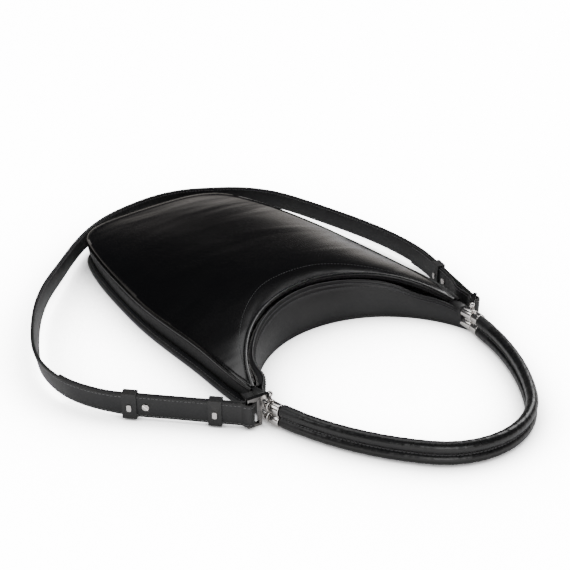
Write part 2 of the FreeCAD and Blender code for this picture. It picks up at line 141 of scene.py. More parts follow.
def build(name, verts, faces, material, body=None, stands_for=(), slot=None, smooth=True):
    """A mesh piece in the frame, riding on its body and standing for its CAD nodes."""
    mesh = bpy.data.meshes.new(name)
    mesh.from_pydata([place(v) for v in verts], [], [tuple(int(i) for i in f) for f in faces])
    mesh.update()
    work = bmesh.new()
    work.from_mesh(mesh)
    bmesh.ops.remove_doubles(work, verts=work.verts, dist=1e-6)
    bmesh.ops.recalc_face_normals(work, faces=work.faces)
    work.to_mesh(mesh)
    work.free()
    mesh.polygons.foreach_set("use_smooth", [smooth] * len(mesh.polygons))
    mesh.set_sharp_from_angle(angle=math.radians(52))
    piece = bpy.data.objects.new(name, mesh)
    bpy.context.scene.collection.objects.link(piece)
    mesh.materials.append(material)
    if body:
        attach(piece, body)
    if stands_for:
        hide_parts(*stands_for)
    return piece


def grid(rows, close_columns=False, caps=False):
    """Vertices and faces of a sheet given as an array of rows of points."""
    rows = np.asarray(rows)
    n, m = rows.shape[:2]
    faces = []
    for i in range(n - 1):
        for j in range(m if close_columns else m - 1):
            a, b = i * m + j, i * m + (j + 1) % m
            c, d = (i + 1) * m + (j + 1) % m, (i + 1) * m + j
            faces.append((a, b, c, d))
    if caps:
        faces.append(tuple(range(m))[::-1])
        faces.append(tuple((n - 1) * m + j for j in range(m)))
    return rows.reshape(-1, 3), faces


def sweep(path, up, section, caps=True):
    """A section of (sideways, upwards) points carried along a path."""
    t = tangents(path)
    up = np.asarray(up, float)
    if up.ndim == 1:
        up = np.tile(up, (len(path), 1))
    side = np.cross(up, t)
    side /= np.linalg.norm(side, axis=1)[:, None]
    lift = np.cross(t, side)
    section = np.asarray(section, float)
    if section.ndim == 2:
        section = np.tile(section, (len(path), 1, 1))
    rows = (path[:, None, :] + side[:, None, :] * section[:, :, :1]
            + lift[:, None, :] * section[:, :, 1:])
    return grid(rows, close_columns=True, caps=caps)


def round_box(width, height, corner, steps=4):
    """Outline of a rounded rectangle, anticlockwise, centred."""
    points = []
    for k, (sx, sy) in enumerate(((1, 1), (-1, 1), (-1, -1), (1, -1))):
        for s in range(steps + 1):
            a = math.radians(90 * k + 90.0 * s / steps)
            points.append((sx * (width / 2 - corner) + corner * math.cos(a),
                           sy * (height / 2 - corner) + corner * math.sin(a)))
    return np.array(points)


def circle(radius, count=28):
    """Outline of a circle, anticlockwise, centred."""
    a = np.linspace(0, 2 * math.pi, count, endpoint=False)
    return np.stack([radius * np.cos(a), radius * np.sin(a)], axis=1)


def join(parts):
    """Several meshes as one list of vertices and faces."""
    verts, faces, start = [], [], 0
    for v, f in parts:
        verts.append(np.asarray(v))
        faces += [tuple(i + start for i in face) for face in f]
        start += len(v)
    return np.concatenate(verts), faces


def stitches(path, normals, length=2.4, pitch=3.5, radius=0.32, proud=0.12):
    """Short thread capsules laid along a seam, slightly sunk at both ends."""
    reach = np.concatenate([[0], np.cumsum(np.linalg.norm(np.diff(path, axis=0), axis=1))])
    parts = []
    angle = np.linspace(0, 2 * math.pi, 6, endpoint=False)
    for start in np.arange(0.6, reach[-1] - length, pitch):
        rows = []
        for k in (0.0, 0.12, 0.5, 0.88, 1.0):
            where = start + k * length
            p = np.array([np.interp(where, reach, path[:, c]) for c in range(3)])
            n = np.array([np.interp(where, reach, normals[:, c]) for c in range(3)])
            n /= np.linalg.norm(n)
            q = np.array([np.interp(where + 0.2, reach, path[:, c]) for c in range(3)])
            o = np.array([np.interp(where - 0.2, reach, path[:, c]) for c in range(3)])
            t = (q - o) / np.linalg.norm(q - o)
            s = np.cross(n, t)
            thin = radius * (0.35 if k in (0.0, 1.0) else 1.0)
            lift = proud if k not in (0.0, 1.0) else -0.15
            rows.append([p + n * lift + s * thin * math.cos(a) + n * thin * math.sin(a)
                         for a in angle])
        parts.append(grid(np.array(rows), close_columns=True, caps=True))
    return join(parts)


# ------------------------------------------------------------------ materials

def nodes_of(name):
    """A new node material with its tree and its main shader."""
    material = bpy.data.materials.new(name)
    material.use_nodes = True
    tree = material.node_tree
    shader = tree.nodes["Principled BSDF"]
    return material, tree, shader


def add(tree, kind, **values):
    """A new shader node with its inputs and settings given by name."""
    node = tree.nodes.new(kind)
    for key, value in values.items():
        if key in node.inputs:
            node.inputs[key].default_value = value
        else:
            setattr(node, key, value)
    return node


def ramp(tree, source, low, high, where=(0.0, 1.0)):
    """A blend of two colours led by a value."""
    node = tree.nodes.new("ShaderNodeValToRGB")
    node.color_ramp.elements[0].position = where[0]
    node.color_ramp.elements[1].position = where[1]
    node.color_ramp.elements[0].color = low
    node.color_ramp.elements[1].color = high
    tree.links.new(source, node.inputs["Fac"])
    return node


def grey(value, tint=(1.0, 1.0, 1.0)):
    """A tinted grey as an opaque colour."""
    return tuple(value * t for t in tint) + (1.0,)


def leather(name, shade, rough=0.38, grain=1100.0, depth=0.00006, creases=0.0, wear=0.5,
            sheen=0.02, waves=0.0, spread=1.0, shine=0.5):
    """Smooth finished leather: pebble grain, faint creases and worn edges."""
    material, tree, shader = nodes_of(name)
    link = tree.links.new
    spot = add(tree, "ShaderNodeTexCoord").outputs["Object"]
    pebble = add(tree, "ShaderNodeTexVoronoi", Scale=grain)
    pebble.feature = "SMOOTH_F1"
    cloud = add(tree, "ShaderNodeTexNoise", Scale=38.0, Detail=4.0, Roughness=0.55)
    fine = add(tree, "ShaderNodeTexNoise", Scale=grain * 0.45, Detail=5.0, Roughness=0.6)
    for node in (pebble, cloud, fine):
        link(spot, node.inputs["Vector"])
    geometry = add(tree, "ShaderNodeNewGeometry")
    edge = ramp(tree, geometry.outputs["Pointiness"], (0, 0, 0, 1), (1, 1, 1, 1), (0.52, 0.60))
    base = ramp(tree, cloud.outputs["Fac"], grey(shade * 0.82, (0.96, 0.98, 1.08)),
                grey(shade * 1.22, (1.0, 0.99, 1.02)), (0.35, 0.68))
    worn = add(tree, "ShaderNodeMix", data_type="RGBA", blend_type="MIX")
    amount = add(tree, "ShaderNodeMath", operation="MULTIPLY")
    link(edge.outputs["Color"], amount.inputs[0])
    amount.inputs[1].default_value = wear
    link(amount.outputs[0], worn.inputs["Factor"])
    link(base.outputs["Color"], worn.inputs["A"])
    worn.inputs["B"].default_value = grey(shade * 2.6, (1.0, 0.97, 0.93))
    link(worn.outputs["Result"], shader.inputs["Base Color"])
    gloss = ramp(tree, fine.outputs["Fac"], grey(rough - 0.05 * spread),
                 grey(rough + 0.09 * spread), (0.3, 0.7))
    link(gloss.outputs["Color"], shader.inputs["Roughness"])
    height = add(tree, "ShaderNodeMath", operation="MULTIPLY_ADD")
    link(pebble.outputs["Distance"], height.inputs[0])
    height.inputs[1].default_value = 1.0
    link(fine.outputs["Fac"], height.inputs[2])
    relief = add(tree, "ShaderNodeBump", Strength=0.55, Distance=depth)
    link(height.outputs[0], relief.inputs["Height"])
    last = relief
    if creases:
        folds = add(tree, "ShaderNodeTexNoise", Scale=150.0, Detail=3.0, Roughness=0.5,
                    Distortion=0.6)
        link(spot, folds.inputs["Vector"])
        last = add(tree, "ShaderNodeBump", Strength=0.5, Distance=creases)
        link(folds.outputs["Fac"], last.inputs["Height"])
        link(relief.outputs["Normal"], last.inputs["Normal"])
    if waves:
        slack = add(tree, "ShaderNodeTexNoise", Scale=13.0, Detail=2.0, Roughness=0.45,
                    Distortion=0.4)
        stretch = add(tree, "ShaderNodeMapping")
        stretch.inputs["Rotation"].default_value = (0.0, 0.0, 0.6)
        stretch.inputs["Scale"].default_value = (0.5, 1.5, 1.0)
        link(spot, stretch.inputs["Vector"])
        link(stretch.outputs["Vector"], slack.inputs["Vector"])
        before = last
        last = add(tree, "ShaderNodeBump", Strength=0.6, Distance=waves)
        link(slack.outputs["Fac"], last.inputs["Height"])
        link(before.outputs["Normal"], last.inputs["Normal"])
    link(last.outputs["Normal"], shader.inputs["Normal"])
    shader.inputs["Specular IOR Level"].default_value = shine
    shader.inputs["Sheen Weight"].default_value = sheen
    return material


def metal(name, shade, rough=0.16, tint=(1.0, 0.965, 0.94)):
    """Polished plated metal with faint brushing."""
    material, tree, shader = nodes_of(name)
    link = tree.links.new
    spot = add(tree, "ShaderNodeTexCoord").outputs["Object"]
    stretch = add(tree, "ShaderNodeMapping")
    stretch.inputs["Scale"].default_value = (900.0, 120.0, 900.0)
    link(spot, stretch.inputs["Vector"])
    hair = add(tree, "ShaderNodeTexNoise", Scale=1.0, Detail=3.0)
    link(stretch.outputs["Vector"], hair.inputs["Vector"])
    cloud = add(tree, "ShaderNodeTexNoise", Scale=220.0, Detail=4.0)
    link(spot, cloud.inputs["Vector"])
    tone = ramp(tree, cloud.outputs["Fac"], grey(shade * 0.9, tint), grey(shade, tint), (0.3, 0.7))
    link(tone.outputs["Color"], shader.inputs["Base Color"])
    gloss = ramp(tree, hair.outputs["Fac"], grey(rough * 0.7), grey(rough * 1.5), (0.3, 0.7))
    link(gloss.outputs["Color"], shader.inputs["Roughness"])
    relief = add(tree, "ShaderNodeBump", Strength=0.15, Distance=0.00002)
    link(hair.outputs["Fac"], relief.inputs["Height"])
    link(relief.outputs["Normal"], shader.inputs["Normal"])
    shader.inputs["Metallic"].default_value = 1.0
    return material


def cloth(name, colour, scale=1500.0):
    """Plain weave from two crossed wave textures."""
    material, tree, shader = nodes_of(name)
    link = tree.links.new
    spot = add(tree, "ShaderNodeTexCoord").outputs["Object"]
    warp = add(tree, "ShaderNodeTexWave", Scale=scale / 6.0, Distortion=0.6)
    weft = add(tree, "ShaderNodeTexWave", Scale=scale / 6.0, Distortion=0.6)
    weft.bands_direction = "Y"
    speck = add(tree, "ShaderNodeTexNoise", Scale=scale, Detail=3.0)
    for node in (warp, weft, speck):
        link(spot, node.inputs["Vector"])
    weave = add(tree, "ShaderNodeMath", operation="MULTIPLY")
    link(warp.outputs["Fac"], weave.inputs[0])
    link(weft.outputs["Fac"], weave.inputs[1])
    mixed = add(tree, "ShaderNodeMath", operation="MULTIPLY_ADD")
    link(speck.outputs["Fac"], mixed.inputs[0])
    mixed.inputs[1].default_value = 0.6
    link(weave.outputs[0], mixed.inputs[2])
    tone = ramp(tree, mixed.outputs[0], tuple(0.65 * c for c in colour) + (1,),
                tuple(1.25 * c for c in colour) + (1,), (0.1, 0.9))
    link(tone.outputs["Color"], shader.inputs["Base Color"])
    relief = add(tree, "ShaderNodeBump", Strength=0.5, Distance=0.0001)
    link(mixed.outputs[0], relief.inputs["Height"])
    link(relief.outputs["Normal"], shader.inputs["Normal"])
    shader.inputs["Roughness"].default_value = 0.85
    shader.inputs["Sheen Weight"].default_value = 0.15
    return material


BAG = leather("bag_leather", 0.0028, rough=0.20, depth=0.000002, creases=0.00003,
              wear=0.0, sheen=0.0, waves=0.0022, spread=0.08)
# Painted shade: the side gusset is the bag's black leather made a little darker and less shiny,
# for the shade under the front seam's lip.
SIDE_PAINTED_SHADE = leather("side_leather", 0.0025, rough=0.46, depth=0.00004, creases=0.0003, sheen=0.0,
               shine=0.25)
# Painted light: the mouth wall and the tips are the bag's black leather made about four times
# lighter, for the light they take from the floor and the lamps.
WALL_PAINTED_LIGHT = leather("wall_leather_painted_light", 0.011, rough=0.42, depth=0.00005, creases=0.0003)
# Painted highlight: the handle rolls and their web are the bag's black leather made lighter, for
# the highlight along the handle.
ROLLS_PAINTED_LIGHT = leather("roll_leather_painted_light", 0.007, rough=0.30, grain=1000.0, depth=0.00012, creases=0.0007)
# Painted light: the strap, its keepers and the collars are the bag's black leather made lighter,
# for light the dimmed lamps no longer give them.
STRAP_PAINTED_LIGHT = leather("strap_leather", 0.012, rough=0.42, grain=1300.0, creases=0.0002, wear=0.8)
# Painted light: the back welt's flange is the bag's black leather made about ten times lighter,
# for the light its upturned face catches.
WELT_PAINTED_LIGHT = leather("welt_leather_painted_light", 0.03, rough=0.42, depth=0.00004, creases=0.0002)
PAINT = leather("edge_paint", 0.004, rough=0.26, grain=2400.0, depth=0.00002, wear=0.2)
THREAD = cloth("thread", (0.16, 0.16, 0.165), 4000.0)
DARK_THREAD = cloth("dark_thread", (0.06, 0.06, 0.063), 4000.0)
TAPE = cloth("tape", (0.016, 0.016, 0.018))
LINING = cloth("lining", (0.03, 0.03, 0.034))
CORD = cloth("cord", (0.6, 0.57, 0.5))
METAL = metal("plated_metal", 0.86)
# Painted shade: the strap rings are the plated metal made much darker, for the shade they sit in
# inside the strap loops and the dark they reflect.
RING_METAL_PAINTED_SHADE = metal("ring_metal_painted_shade", 0.34, rough=0.12)
TEETH = metal("zip_metal", 0.08, rough=0.3, tint=(1.0, 0.98, 0.96))
DARK_METAL = metal("slider_black", 0.12, rough=0.2, tint=(1.0, 0.98, 0.96))

# ------------------------------------------------------------------ bag shape

TILT = math.radians(16)
UP = np.array([0, -math.sin(TILT), math.cos(TILT)])
CENTRE = np.array([0, -13.2, 9.8])


def track(angle, radius, rise):
    """A point of the zip's tilted circle: angle from the bag's middle, radius and rise."""
    a = np.radians(np.asarray(angle, float))
    radius = radius + 0 * a
    rise = rise + 0 * a
    flat = np.stack([np.sin(a), np.cos(a) * math.cos(TILT), np.cos(a) * math.sin(TILT)], axis=-1)
    return CENTRE + flat * radius[..., None] + UP * rise[..., None]


HALF_OUTLINE = [(128.6, 14), (130, 20), (133, 52), (130.5, 100), (129, 151), (126, 206),
                (120, 250), (111, 300), (99, 345), (86, 371), (60, 386), (25, 390)]
OUTLINE = np.array([(-x, v, 0) for x, v in HALF_OUTLINE]
                   + [(x, v, 0) for x, v in HALF_OUTLINE[::-1]], float)
RIM = through(OUTLINE, 420)
RIM_TRIM = 4
HALF_WIDTH = 131.0
RIM_SIDE = tangents(RIM)
RIM_IN = np.stack([RIM_SIDE[:, 1], -RIM_SIDE[:, 0], 0 * RIM_SIDE[:, 0]], axis=1)

middle_height = cubic([0, 44, 104, 150, 200, 250, 330, 385, 410],
                      [38, 46.5, 51.5, 53, 51.5, 48, 40, 31, 26])
seam_height = cubic([0, 25, 50, 150, 300, 385, 410], [22.5, 24.2, 27, 29, 29, 28, 27.5])


def front_height(x, v):
    """Height of the crowned front panel, with its soft waves."""
    top, low = middle_height(v)[:, 0], seam_height(v)[:, 0]
    fall = np.clip(np.abs(x) / HALF_WIDTH, 0, 1.02) ** 2.4
    soft = 0.5 * np.sin(x / 31.0 + v / 57.0) + 0.4 * np.sin(v / 33.0 - x / 49.0)
    return low + (top - low) * (1 - fall) + soft * (1 - fall)


# Front panel, from the mouth edge to the seam.
FRONT_RADIUS = 131.6
angles = np.linspace(-71.5, 71.5, 300)
# The mouth's edge lifts and stands out a little towards its right end.
lift = 1.0 + 1.8 * bump(angles, 42, 26) + 0.6 * bump(angles, -40, 24)
edge_out = 1.6 * bump(angles, 52, 22)
MOUTH = track(angles, FRONT_RADIUS + edge_out, lift)
start = int(np.argmin(np.abs(RIM[:210, 1] - 27)))
seam = even(RIM[start:420 - start], 300)
seam_in = tangents(seam)
seam_in = np.stack([seam_in[:, 1], -seam_in[:, 0], 0 * seam_in[:, 0]], axis=1)
seam_line = seam + seam_in * 1.0
rows = []
for s in np.concatenate([[0, 0.006, 0.015, 0.03], np.linspace(0.05, 0.95, 44),
                         [0.97, 0.985, 0.994, 1.0]]):
    flat = MOUTH * (1 - s) + seam_line * s
    z = front_height(flat[:, 0], flat[:, 1])
    reach = np.linalg.norm((flat - MOUTH)[:, :2], axis=1)
    near = np.exp(-reach / 9.0)
    z = z * (1 - near) + (MOUTH[:, 2] + 0.3) * near
    away = np.linalg.norm((seam_line - flat)[:, :2], axis=1)
    z -= 1.5 * np.exp(-(away / 2.0) ** 2) - 0.9 * np.exp(-((away - 5.0) / 2.6) ** 2)
    flat[:, 2] = z
    rows.append(flat)
FRONT_ROWS = np.array(rows)
build("front_leather", *grid(FRONT_ROWS), BAG, "bag", ["front_panel"], "bag_leather")


# Side: lip at the front seam, soft wall leaning in, and the flange of the back welt.
def rim_strip(profile):
    """Rows that follow the rim, each at an inset and a height of its own."""
    rim, inward = RIM[RIM_TRIM:-RIM_TRIM], RIM_IN[RIM_TRIM:-RIM_TRIM]
    top = seam_height(rim[:, 1])[:, 0]
    rows = []
    for inset, kind, z in profile:
        row = rim + inward * inset
        row[:, 2] = {"seam": top + z, "mid": top * z, "floor": z}[kind]
        rows.append(row)
    return np.array(rows)


lip = rim_strip([(3.2, "seam", -1.6), (1.6, "seam", 0.6), (0.7, "seam", 0.7),
                 (0.15, "seam", 0.2), (0.0, "seam", -0.6), (0.2, "seam", -1.5),
                 (1.0, "seam", -2.0), (2.6, "seam", -2.2)])
build("front_lip", *grid(lip), PAINT, "bag", ["front_welt"], "bag_leather")
side_profile = [(3.0, "seam", -1.8), (2.3, "seam", -2.6), (1.7, "seam", -3.6), (1.5, "seam", -5.5),
                (1.9, "mid", 0.72), (2.6, "mid", 0.6), (3.4, "mid", 0.5), (4.3, "mid", 0.4),
                (5.4, "floor", 8.0), (6.2, "floor", 6.4), (7.0, "floor", 5.2), (8.0, "floor", 4.7)]
wall = rim_strip(side_profile)
column = np.arange(wall.shape[1])
ripple = np.sin(column / 9.0) * 0.35 + np.sin(column / 23.0) * 0.5
belly = np.array([0, 0, 0.2, 0.6, 1, 1, 1, 0.9, 0.5, 0.2, 0, 0])
wall += (RIM_IN[RIM_TRIM:-RIM_TRIM] * ripple[:, None])[None] * belly[:, None, None]
build("side_leather", *grid(wall), SIDE_PAINTED_SHADE, "bag", ["side_gusset"], "bag_leather")
cloth_wall = rim_strip([(inset + 1.4, kind, z) for inset, kind, z in side_profile])
build("side_cloth", *grid(cloth_wall), LINING, "bag", ["lining_side"], "lining_cloth")
back_lip = rim_strip([(8.6, "floor", 5.0), (6.6, "floor", 4.7), (4.2, "floor", 4.6),
                      (2.4, "floor", 4.5), (1.2, "floor", 4.0), (0.35, "floor", 3.3),
                      (0.05, "floor", 2.4), (0.0, "floor", 1.4), (0.25, "floor", 0.5),
                      (0.9, "floor", 0.1), (4.5, "floor", 0.05)])
build("back_lip", *grid(back_lip), WELT_PAINTED_LIGHT, "bag", ["back_welt"], "bag_leather")

trim = RIM[RIM_TRIM:-RIM_TRIM]
trim_in = RIM_IN[RIM_TRIM:-RIM_TRIM]
welt_row = trim + trim_in * 3.0
welt_row[:, 2] = 4.5
welt_out = -trim_in * 0.1 + np.array([0, 0, 1.0])
panel_row = trim + trim_in * 4.3
panel_row[:, 2] = front_height(panel_row[:, 0], panel_row[:, 1]) - 0.75
build("welt_stitching", *stitches(welt_row, welt_out, length=2.4, pitch=3.8, radius=0.36),
      THREAD, "bag", slot="bag_leather")
upright = np.tile([0., 0., 1.], (len(trim), 1))
build("rim_stitching", *stitches(panel_row, upright, length=2.3, pitch=3.5, radius=0.28),
      DARK_THREAD, "bag", slot="bag_leather")

# Back panel, flat on the floor from the foot of the mouth's wall to the rim.
FOOT_RADIUS, FOOT_CENTRE = 126.5, -26.0


def foot_arc(angle):
    """The line on the floor where the mouth's wall stands."""
    return np.stack([FOOT_RADIUS * np.sin(angle), FOOT_CENTRE + FOOT_RADIUS * np.cos(angle),
                     0 * angle], axis=1)


arc = foot_arc(np.radians(np.linspace(-70, 70, 300)))
rows = []
for s in np.linspace(0, 1, 24):
    flat = arc * (1 - s) + (seam + seam_in * 2.0) * s
    flat[:, 2] = 0.15 + 0.5 * s * (1 - s)
    rows.append(flat)
build("back_leather", *grid(rows), BAG, "bag", ["back_panel"], "bag_leather")

# Mouth wall: rises from the back panel and folds over at the zip.
wall_angles = np.linspace(-76.5, 76.5, 336)
wa = np.radians(wall_angles)
dip = -3.4 * bump(wall_angles, 56, 9) - 0.8 * bump(wall_angles, 20, 14)
swell = -1.6 * bump(wall_angles, 54, 12) - 7.0 * bump(wall_angles, -65.5, 6.5)
CREST_RADIUS = 124.0
foot = foot_arc(wa)
crest = track(wall_angles, CREST_RADIUS + swell, dip)
push = np.stack([np.sin(wa), np.cos(wa), 0 * wa], axis=1)
rows = []
for k in (0.0, 0.012, 0.03, 0.05, 0.07, 0.1, 0.2, 0.3, 0.4, 0.5, 0.6, 0.7, 0.78, 0.84, 0.86, 0.88,
          0.9, 0.92, 0.94, 0.955, 0.97, 0.985, 1.0):
    row = foot * (1 - k) + crest * k
    bulge = 1.3 * math.sin(math.pi * k)
    ridge = (0.55 * math.exp(-((k - 0.865) / 0.018) ** 2)
             + 0.6 * math.exp(-((k - 0.955) / 0.018) ** 2)
             - 0.35 * math.exp(-((k - 0.05) / 0.02) ** 2))
    sag = 0.5 * np.sin(wall_angles / 6.0) * math.sin(math.pi * k)
    rows.append(row - push * (bulge + ridge + sag)[:, None])
for extra, rise in ((0.5, 0.55), (1.2, 0.7), (1.9, 0.4), (2.2, -0.4), (2.25, -3.0), (2.6, -9.0)):
    rows.append(track(wall_angles, CREST_RADIUS + swell + extra, dip + rise))
WALL_ROWS = np.array(rows)
build("mouth_leather", *grid(WALL_ROWS), WALL_PAINTED_LIGHT, "bag", ["mouth_gusset"], "bag_leather")
seams = [stitches(WALL_ROWS[index] - push * 0.1, -push, length=2.2, pitch=3.2, radius=0.3)
         for index in (14, 19, 4)]
build("mouth_stitching", *join(seams), DARK_THREAD, "bag", slot="bag_leather")

# Binding roll on the front mouth edge, with its stitch row on the panel.
binding_path = MOUTH + np.array([0, 0, -0.4])
section = circle(2.3, 18)
section[:, 1] *= 0.9
build("binding_leather", *sweep(binding_path, (0, 0, 1), section), PAINT, "bag", ["mouth_binding"],
      "bag_leather")
ride_line = FRONT_ROWS[5]
upright = np.tile([0., 0., 1.], (len(ride_line), 1))
build("binding_stitching", *stitches(ride_line + np.array([0, 0, 0.15]), upright,
                                     length=2.2, pitch=3.4, radius=0.28),
      DARK_THREAD, "bag", slot="bag_leather")

# Zip: tapes hang from both edges and carry separate teeth.
tape_angles = np.linspace(-69.5, 69.5, 260)
follow = np.interp(tape_angles, angles, edge_out)
rise_front = np.interp(tape_angles, angles, lift)
front_tape = [track(tape_angles, 132.9 + follow, rise_front - 1.0),
              track(tape_angles, 132.4 + follow, rise_front - 3.5),
              track(tape_angles, 131.6 + follow, rise_front - 6.6)]
build("front_tape_cloth", *grid(front_tape), TAPE, "bag", ["front_zip_tape"], "zip_tape")
dip_tape = np.interp(tape_angles, wall_angles, dip)
swell_tape = np.interp(tape_angles, wall_angles, swell)
back_tape = [track(tape_angles, 126.4 + swell_tape, dip_tape - 0.6),
             track(tape_angles, 127.0 + swell_tape * 0.8, dip_tape - 2.4),
             track(tape_angles, 127.7 + swell_tape * 0.6, dip_tape * 0.8 - 4.6)]
build("back_tape_cloth", *grid(back_tape), TAPE, "bag", ["back_zip_tape"], "zip_tape")


FRONT_TEETH, BACK_TEETH = 131.3, 127.9


def teeth(name, radius_at, rise_at, lean, node):
    """A row of separate zip teeth, each a small tapered block."""
    parts = []
    for angle in np.arange(-69.0, 69.01, 0.88):
        radius, rise = radius_at(angle), rise_at(angle)
        corners = []
        for dr, w, h in ((-0.9 * lean, 0.55, 1.0), (0.35 * lean, 0.7, 1.25),
                         (1.0 * lean, 0.42, 0.85)):
            step = math.degrees(w / radius)
            for da, dh in ((-step, -h), (step, -h), (step, h), (-step, h)):
                corners.append(track(angle + da, radius + dr, rise + dh))
        parts.append(grid(np.array(corners).reshape(3, 4, 3), close_columns=True, caps=True))
    verts, faces = join(parts)
    return build(name, verts, faces, TEETH, "bag", [node], "zip_teeth", smooth=False)


teeth("front_teeth", lambda g: FRONT_TEETH + float(np.interp(g, angles, edge_out)),
      lambda g: float(np.interp(g, angles, lift)) - 6.6, -1, "front_zip_teeth")
teeth("back_teeth", lambda g: BACK_TEETH + 0.6 * float(np.interp(g, wall_angles, swell)),
      lambda g: 0.8 * float(np.interp(g, wall_angles, dip)) - 4.2, 1, "back_zip_teeth")

# ------------------------------------------------------------------ tips

# Each tip is a leather tab: rounded sections from inside the bag to its clamp, as place
# along the bag, centre across it, width, lower and upper height, and squareness.
TIP_SECTIONS = [(40, 126.0, 4.0, 7.0, 17.0, 3), (34, 125.6, 6.4, 4.0, 20.0, 3),
                (29, 125.3, 8.4, 2.2, 21.6, 3.4), (24, 125.2, 9.9, 0.9, 22.6, 4),
                (19, 125.2, 10.9, 0.4, 23.0, 4), (15.5, 125.1, 11.0, 0.4, 22.9, 4),
                (12.6, 125.0, 11.0, 0.5, 22.7, 4), (12.0, 125.0, 10.4, 0.9, 22.3, 4)]
for side, sign in (("left", -1), ("right", 1)):
    rows = []
    for v, x, width, low, high, power in TIP_SECTIONS:
        ring = []
        for k in range(32):
            a = 2 * math.pi * k / 32
            c, s = math.cos(a), math.sin(a)
            r = (abs(c) ** power + abs(s) ** power) ** (-1.0 / power)
            pinch = 1 - 0.06 * bump(s * r, 0.0, 0.25) * (1 if v < 24 else 0.3)
            ring.append((sign * (x + 0.5 * width * r * c * pinch), v, (low + high) / 2
                         + 0.5 * (high - low) * r * s))
        rows.append(ring)
    build("tip_leather_" + side, *grid(np.array(rows), close_columns=True, caps=True), WALL_PAINTED_LIGHT, "bag",
          ["tip_tab_" + side], "bag_leather")


def refined(node, name, material, body, width=0.35, smooth_angle=38):
    """The CAD node's own shape with rounded edges and a finish."""
    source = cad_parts[node]
    mesh = source.data.copy()
    piece = bpy.data.objects.new(name, mesh)
    bpy.context.scene.collection.objects.link(piece)
    piece.matrix_world = source.matrix_world.copy()
    work = bmesh.new()
    work.from_mesh(mesh)
    bmesh.ops.remove_doubles(work, verts=work.verts, dist=2e-6)
    bmesh.ops.dissolve_limit(work, angle_limit=math.radians(1.5), verts=work.verts,
                             edges=work.edges)
    work.to_mesh(mesh)
    work.free()
    mesh.materials.clear()
    mesh.materials.append(material)
    mesh.polygons.foreach_set("use_smooth", [True] * len(mesh.polygons))
    mesh.set_sharp_from_angle(angle=math.radians(smooth_angle))
    if width:
        soft = piece.modifiers.new("soft_edges", "BEVEL")
        soft.width = width / 1000.0
        soft.segments = 3
        soft.limit_method = "ANGLE"
        soft.angle_limit = math.radians(smooth_angle)
        soft.harden_normals = True
    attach(piece, body)
    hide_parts(node)
    return piece


# A clamp or ferrule is two barrels with rounded ends, joined by a web.
FERRULE_LEAN = math.radians(9.5)
CLAMP_LENGTH, FERRULE_LENGTH = 13.2, 9.9
for side, sign in (("left", -1), ("right", 1)):
    to_handle = np.array([-sign * math.sin(FERRULE_LEAN), -math.cos(FERRULE_LEAN), 0])
    to_bag = np.array([0., 1., 0.])
    for node, begin, along, length in (
            ("bag_clamp_", (sign * TIP, -1.2), to_bag, CLAMP_LENGTH),
            ("handle_ferrule_", (sign * TIP, -2.4), to_handle, FERRULE_LENGTH)):
        parts = []
        for height in ROLL_LEVELS.values():
            marks = np.array([0, 0.05, 0.35, 0.75, 1.1, length - 1.1, length - 0.75, length - 0.35,
                              length - 0.05, length])
            radii = np.array([4.4, 5.0, 5.35, 5.55, 5.6, 5.6, 5.55, 5.35, 5.0, 4.4])
            path = np.array([*begin, height])[None] + along[None] * marks[:, None]
            parts.append(sweep(path, (0, 0, 1), circle(1.0, 44)[None] * radii[:, None, None]))
        ends = np.array([0.4, length - 0.4])
        web = np.array([*begin, MID_LEVEL])[None] + along[None] * ends[:, None]
        parts.append(sweep(web, (0, 0, 1), round_box(5.6, 7.0, 0.3, 2)))
        verts, faces = join(parts)
        build(node + "metal_" + side, verts, faces, METAL, "bag", [node + side], "hardware_metal")
    refined("swivel_post_" + side, "swivel_metal_" + side, METAL, "bag", 0.0)
    refined("strap_ring_" + side, "ring_metal_painted_shade_" + side, RING_METAL_PAINTED_SHADE, "strap",
            0.45)
    refined("strap_stud_" + side, "stud_metal_" + side, METAL, "strap", 0.15)
refined("zip_slider", "slider_metal", DARK_METAL, "slider", 0.2)
refined("zip_pull", "pull_metal", DARK_METAL, "pull", 0.25)
for name, body in (("keeper_left_near", "keeper_a"), ("keeper_left_far", "keeper_b"),
                   ("keeper_right", "keeper_c")):
    refined(name, name + "_leather", STRAP_PAINTED_LIGHT, body, 0.35)
    refined(name + "_rivet", name + "_rivet_metal", METAL, body, 0.0)

# ------------------------------------------------------------------ handle

def arch():
    """The handle's centre line: a middle arc and a tangent arc each side."""
    top_radius, top_centre, top_angle = 84, -73.5, 48
    side_radius, side_angle = 257, 77.7
    g = np.radians(np.linspace(0, top_angle, 90))
    middle = np.stack([top_radius * np.sin(g), top_centre - top_radius * np.cos(g)], axis=1)
    cx = (top_radius - side_radius) * math.sin(math.radians(top_angle))
    cv = top_centre - (top_radius - side_radius) * math.cos(math.radians(top_angle))
    f = np.radians(np.linspace(top_angle, side_angle, 110))[1:]
    flank = np.stack([cx + side_radius * np.sin(f), cv - side_radius * np.cos(f)], axis=1)
    half = np.concatenate([middle, flank])
    return np.concatenate([half[::-1] * [-1, 1], half[1:]])


ARCH = even(arch(), 360)


def bend_at_collar(piece):
    """Bakes the piece's placement into its mesh; the turn of the handle's leather between the
    ferrules and the collars' far ends is not made here.
    """
    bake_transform(piece)


for level, height in ROLL_LEVELS.items():
    path = np.column_stack([ARCH, np.full(len(ARCH), height)])
    reach = np.linspace(-1, 1, len(path))
    wobble = 1 + 0.012 * np.sin(reach * 95) + 0.008 * np.sin(reach * 211 + 1)
    bends = bump(np.abs(reach), 0.0, 0.45)
    sections = np.tile(circle(ROLL_RADIUS, 30), (len(path), 1, 1)) * wobble[:, None, None]
    crinkle = 1 + 0.010 * np.sin(reach * 420) * bends
    sections = sections * crinkle[:, None, None]
    roll = build("roll_" + level, *sweep(path, (0, 0, 1), sections), ROLLS_PAINTED_LIGHT,
                 stands_for=["handle_roll_" + level], slot="bag_leather")
    bend_at_collar(roll)
